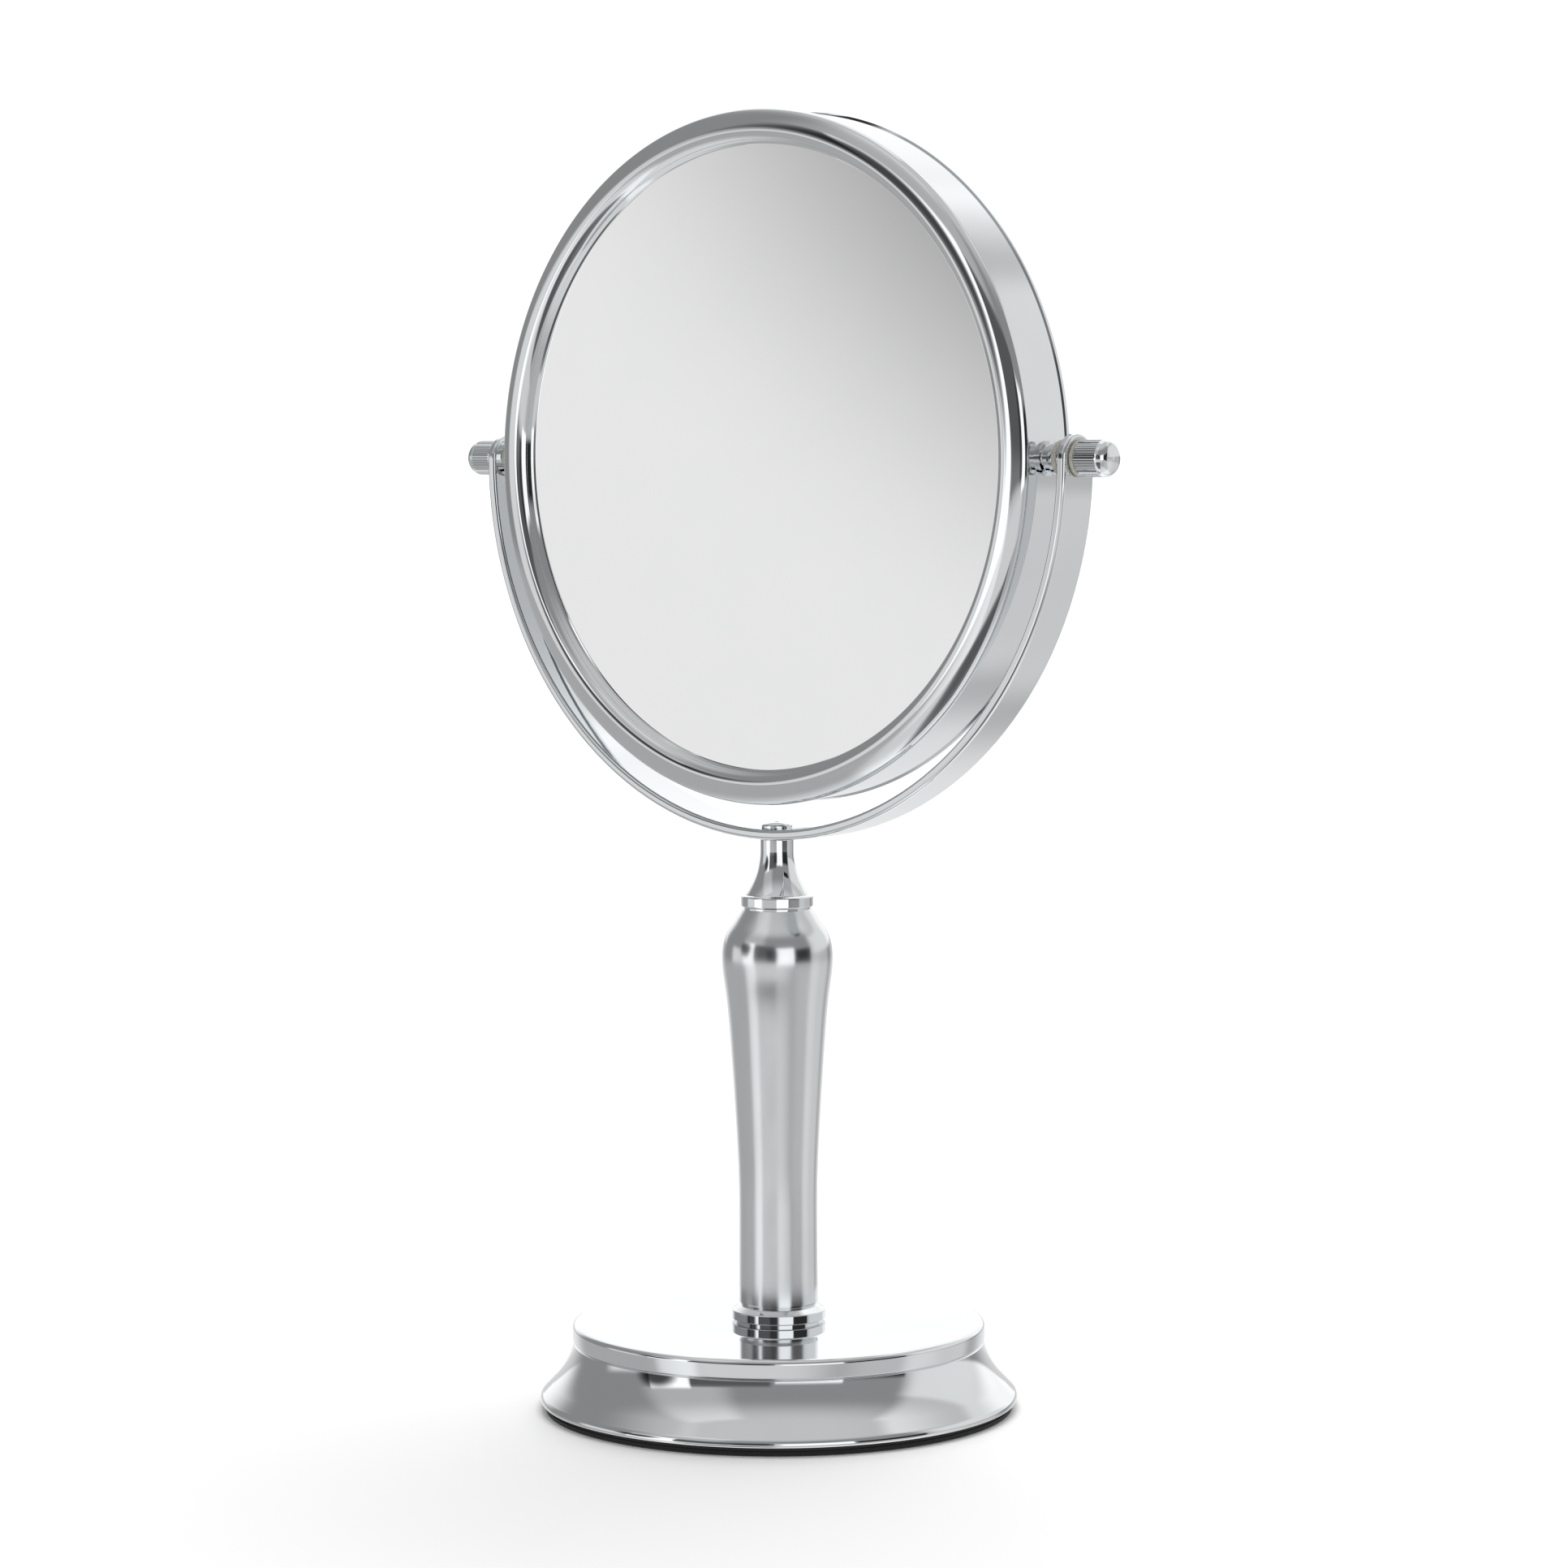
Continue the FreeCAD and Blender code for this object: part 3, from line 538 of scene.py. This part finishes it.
def add_piece(name, points, faces, normals, material):
    """A mesh object from places in millimetres, with one normal per face corner."""
    mesh = bpy.data.meshes.new(name)
    mesh.from_pydata([point * MM for point in points], [], faces)
    mesh.polygons.foreach_set("use_smooth", [True] * len(mesh.polygons))
    mesh.normals_split_custom_set(normals)
    mesh.materials.append(material)
    piece = bpy.data.objects.new(name, mesh)
    bpy.context.collection.objects.link(piece)
    return piece


def lathe(name, runs, swing, height, material):
    """A closed turned piece: the runs go once round its half-section and spin about the swung Z axis."""
    origin = Vector((0, 0, height))
    spin = [2 * math.pi * step / TURN_STEPS for step in range(TURN_STEPS)]
    points = []
    rings = []
    for run in runs:
        for place, _ in run[:-1]:
            rings.append(len(points))
            around = spin if place.x > 1e-6 else spin[:1]
            for angle in around:
                local = Vector((place.x * math.cos(angle), place.x * math.sin(angle), place.y))
                points.append(swing @ local + origin)
    rings.append(rings[0])
    faces = []
    normals = []
    ring = 0
    for run in runs:
        for (place, normal), (next_place, next_normal) in zip(run[:-1], run[1:]):
            first, second = rings[ring], rings[ring + 1]
            ring += 1
            on_axis = place.x <= 1e-6
            next_on_axis = next_place.x <= 1e-6
            if on_axis and next_on_axis:
                continue
            for step in range(TURN_STEPS):
                after = (step + 1) % TURN_STEPS
                here = [(first + step, normal, step), (first + after, normal, after)]
                there = [(second + after, next_normal, after), (second + step, next_normal, step)]
                if on_axis:
                    here = [(first, normal, step)]
                if next_on_axis:
                    there = [(second, next_normal, step)]
                corners = here + there
                faces.append([corner[0] for corner in corners])
                for _, out, at in corners:
                    angle = spin[at]
                    spun = Vector((out.x * math.cos(angle), out.x * math.sin(angle), out.y))
                    normals.append(swing @ spun)
    return add_piece(name, points, faces, normals, material)


def stand_in(piece, node, body):
    """Let a piece take the place of its CAD node."""
    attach(piece, body)
    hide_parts(node)


def polished_base(material):
    """The chromed shell of the base: flat top, beaded edge, flare and rolled lip."""
    lip_turn = 0.7
    lip_spread = 0.8
    lip_rise = 2.5 - lip_turn
    flare_top = BASE_HEIGHT - 5.9
    ceiling = BASE_HEIGHT - SHELL_SHEET
    bore = BOLT_RADIUS + 0.1
    runs = outline_runs((
        (bore, BASE_HEIGHT),
        (bore, ceiling),
        (55.5, ceiling),
        (55.5, ceiling - 11),
        (BASE_FOOT_RADIUS - 2.9, FOOT + 1.7),
        (BASE_FOOT_RADIUS - 2.9, FOOT),
        (BASE_FOOT_RADIUS - lip_turn, FOOT),
        (BASE_FOOT_RADIUS, FOOT + lip_turn, lip_turn),
        (BASE_FOOT_RADIUS - lip_spread, FOOT + 2.5, dome_bow(lip_rise, lip_spread)),
        (BASE_FOOT_RADIUS - 3.4, FOOT + 5.2),
        (BASE_TOP_RADIUS - 0.25, flare_top, -23.7),
        (BASE_TOP_RADIUS - 0.6, flare_top + 0.35),
        (BASE_TOP_RADIUS - 0.1, flare_top + 0.85, 0.7),
        (BASE_TOP_RADIUS, BASE_HEIGHT - 1.6, 30.0),
        (BASE_TOP_RADIUS - 1.3, BASE_HEIGHT, 1.47),
    ))
    stand_in(lathe("looks_base_shell", runs, UPRIGHT, 0, material), "base_shell", "stand")


def polished_collar(material):
    """The turned collar between the base and the post."""
    radius = COLLAR_RADIUS
    bore = BOLT_RADIUS + 0.1
    runs = outline_runs((
        (bore, 0),
        (radius - 0.9, 0),
        (radius - 0.9, 0.6),
        (radius - 0.3, 0.6),
        (radius, 0.9, 0.3),
        (radius, 2.9),
        (radius - 0.4, 3.3, 0.4),
        (WAIST_RADIUS + 0.1, COLLAR_HEIGHT - 0.2),
        (WAIST_RADIUS - 0.35, COLLAR_HEIGHT),
        (bore, COLLAR_HEIGHT),
    ))
    piece = lathe("looks_lower_collar", runs, UPRIGHT, BASE_HEIGHT, material)
    stand_in(piece, "lower_collar", "stand")


def polished_post(material):
    """The vase-shaped post."""
    foot = BASE_HEIGHT + COLLAR_HEIGHT
    height = POST_TOP - foot
    bore = BOLT_RADIUS + 0.6
    foot_corner = Vector((WAIST_RADIUS - 0.35, 0))
    foot_edge = Vector((WAIST_RADIUS + 0.1, 0.9))
    shoulder = Vector((9.6, height))
    curve = curve_run((
        foot_edge,
        (WAIST_RADIUS, 0.22 * height),
        (WAIST_RADIUS + 0.10, 0.32 * height),
        (WAIST_RADIUS + 0.60, 0.43 * height),
        (WAIST_RADIUS + 1.30, 0.54 * height),
        (WAIST_RADIUS + 2.25, 0.67 * height),
        (BELLY_RADIUS - 0.95, 0.79 * height),
        (BELLY_RADIUS, 0.885 * height),
        (BELLY_RADIUS - 1.35, 0.94 * height),
        (BELLY_RADIUS - 3.50, 0.97 * height),
        shoulder,
    ), 8)
    runs = [
        line_run(foot_corner, foot_edge),
        curve,
        line_run(shoulder, Vector((bore, height))),
        line_run(Vector((bore, height)), Vector((bore, 0))),
        line_run(Vector((bore, 0)), foot_corner),
    ]
    stand_in(lathe("looks_post_body", runs, UPRIGHT, foot, material), "post_body", "stand")


def polished_neck(material):
    """The collar and trumpet flare that carry the yoke."""
    top = PIVOT_HEIGHT - YOKE_RADIUS - POST_TOP
    radius = NECK_COLLAR_RADIUS
    flare_foot = 4.3
    flare_top = top - 3.4
    flare = dome_bow(flare_top - flare_foot, NECK_FOOT_RADIUS - NECK_TOP_RADIUS)
    bore = 2.0
    runs = outline_runs((
        (BOLT_RADIUS, 0),
        (radius - 0.7, 0),
        (radius - 0.7, 0.5),
        (radius - 0.4, 0.6),
        (radius, 1.1, 0.5),
        (radius, 3.3),
        (radius - 0.5, 3.8, 0.5),
        (NECK_FOOT_RADIUS + 0.2, 4.0),
        (NECK_FOOT_RADIUS, flare_foot),
        (NECK_TOP_RADIUS, flare_top, -flare),
        (NECK_TOP_RADIUS, top - 0.3),
        (NECK_TOP_RADIUS - 0.3, top),
        (bore, top),
        (bore, top - 9),
        (0, top - 9),
        (0, 9),
        (BOLT_RADIUS, 9),
    ))
    stand_in(lathe("looks_neck", runs, UPRIGHT, POST_TOP, material), "neck", "stand")


def polished_screw(material):
    """The low domed screw that holds the yoke down."""
    seat = PIVOT_HEIGHT - YOKE_RADIUS + YOKE_SHEET + 0.1
    radius = NECK_TOP_RADIUS - 0.3
    crown = radius - 0.5
    shank = 2.0
    runs = outline_runs((
        (0, -11),
        (shank - 0.5, -11),
        (shank, -10.4),
        (shank, 0),
        (radius, 0),
        (radius, 0.7),
        (crown, 1.15, 0.55),
        (0, 1.7, dome_bow(crown, 0.55)),
    ))
    stand_in(lathe("looks_yoke_screw", runs, UPRIGHT, seat, material), "yoke_screw", "stand")


def polished_bezel(side, outer_radius, swing, material):
    """The ring that holds a glass: rolled outer edge, broad convex face, rounded sight edge."""
    edge_bow = 2.4
    face_bow = 9.5
    sight_bow = 3.59
    edge_turn = math.radians(30)
    sight_turn = math.radians(70)
    edge_top = HEAD_HALF_DEPTH - math.cos(edge_turn) * edge_bow - (1 - math.cos(edge_turn)) * face_bow
    face_start = outer_radius - math.sin(edge_turn) * edge_bow
    crest = face_start - math.sin(edge_turn) * face_bow
    back = GLASS_FACE - 1.6
    runs = outline_runs((
        (outer_radius, BAND_END - 1.4),
        (outer_radius, edge_top),
        (face_start, edge_top + math.cos(edge_turn) * edge_bow, edge_bow),
        (crest, HEAD_HALF_DEPTH, face_bow),
        (crest - math.sin(sight_turn) * sight_bow,
         HEAD_HALF_DEPTH - (1 - math.cos(sight_turn)) * sight_bow, sight_bow),
        (SIGHT_RADIUS, GLASS_FACE + 0.5),
        (SIGHT_RADIUS, GLASS_FACE),
        (GLASS_RADIUS + 0.2, GLASS_FACE),
        (GLASS_RADIUS + 0.2, back),
        (BAND_RADIUS - BAND_SHEET, back),
        (BAND_RADIUS - BAND_SHEET, BAND_END),
        (BAND_RADIUS, BAND_END),
        (BAND_RADIUS, BAND_END - 1.4),
    ))
    name = side + "_bezel"
    piece = lathe("looks_" + name, runs, swing, PIVOT_HEIGHT, material)
    stand_in(piece, name, "head")


def polished_band(material):
    """The plain side wall of the head."""
    runs = outline_runs((
        (BAND_RADIUS - BAND_SHEET, -BAND_END),
        (BAND_RADIUS, -BAND_END),
        (BAND_RADIUS, BAND_END),
        (BAND_RADIUS - BAND_SHEET, BAND_END),
    ))
    piece = lathe("looks_head_band", runs, FRONTWARD, PIVOT_HEIGHT, material)
    stand_in(piece, "head_band", "head")


def silvered_glasses(material):
    """The plane front glass and the dished rear glass."""
    back = GLASS_FACE - GLASS_THICKNESS
    curve = dome_bow(GLASS_RADIUS, GLASS_DISH)
    plane = outline_runs((
        (0, back),
        (GLASS_RADIUS, back),
        (GLASS_RADIUS, GLASS_FACE - 0.4),
        (GLASS_RADIUS - 0.4, GLASS_FACE),
        (0, GLASS_FACE),
    ))
    dished = outline_runs((
        (0, back - GLASS_DISH),
        (GLASS_RADIUS, back, curve),
        (GLASS_RADIUS, GLASS_FACE),
        (0, GLASS_FACE - GLASS_DISH, -curve),
    ))
    for side, runs, swing in (("front", plane, FRONTWARD), ("rear", dished, REARWARD)):
        name = side + "_mirror_glass"
        stand_in(lathe("looks_" + name, runs, swing, PIVOT_HEIGHT, material), name, "head")


def polished_boss(side, material):
    """The flanged boss on the side wall that a pivot runs into."""
    start = BAND_RADIUS - 2.4
    runs = outline_runs((
        (STUD_BORE, start),
        (RIVET_RADIUS, start),
        (RIVET_RADIUS, BAND_RADIUS),
        (BOSS_RADIUS, BAND_RADIUS),
        (BOSS_RADIUS, BAND_RADIUS + 0.9),
        (BOSS_RADIUS - 0.7, BAND_RADIUS + 1.3),
        (BOSS_RADIUS - 0.7, BOSS_END - 1.6),
        (BOSS_RADIUS - 0.2, BOSS_END - 1.3),
        (BOSS_RADIUS - 0.2, BOSS_END),
        (STUD_BORE, BOSS_END),
    ))
    name = side + "_pivot_boss"
    piece = lathe("looks_" + name, runs, SIDEWARD[side], PIVOT_HEIGHT, material)
    stand_in(piece, name, "head")


add_camera()
add_world()
add_floor()
add_overhead_light(-150, 66, 1.6, 50)

polished = chrome("chrome_polished")
polished_base(polished)
polished_collar(polished)
polished_post(chrome("chrome_soft", roughness=0.18))
polished_neck(polished)
polished_screw(polished)
polished_bezel("front", RIM_RADIUS, FRONTWARD, polished)
polished_bezel("rear", REAR_RIM_RADIUS, REARWARD, polished)
polished_band(polished)
silvered_glasses(mirror_glass("mirror_silvered"))
for side in ("left", "right"):
    polished_boss(side, polished)
dress(polished, "yoke", "left_knob", "right_knob")
dress(nylon("nylon_cream"), "left_inner_washer", "right_inner_washer",
      "left_outer_washer", "right_outer_washer")
dress(rubber("rubber_black"), "foot_pad")
dress(dark_metal("steel_black", (0.012, 0.012, 0.013), (0.03, 0.03, 0.032), 0.0, 0.45, 0.65, 300.0),
      "base_plate")
dress(dark_metal("iron_cast", (0.05, 0.05, 0.05), (0.12, 0.115, 0.11), 0.8, 0.6, 0.85, 420.0),
      "base_weight")
dress(dark_metal("steel_zinc", (0.45, 0.45, 0.46), (0.60, 0.60, 0.61), 1.0, 0.22, 0.4, 500.0),
      "tie_rod", "tie_rod_nut", "tie_rod_washer", "left_pivot_stud", "right_pivot_stud")
dress(foam("foam_black"), "glass_spacer")

bpy.context.scene.view_settings.view_transform = "Standard"
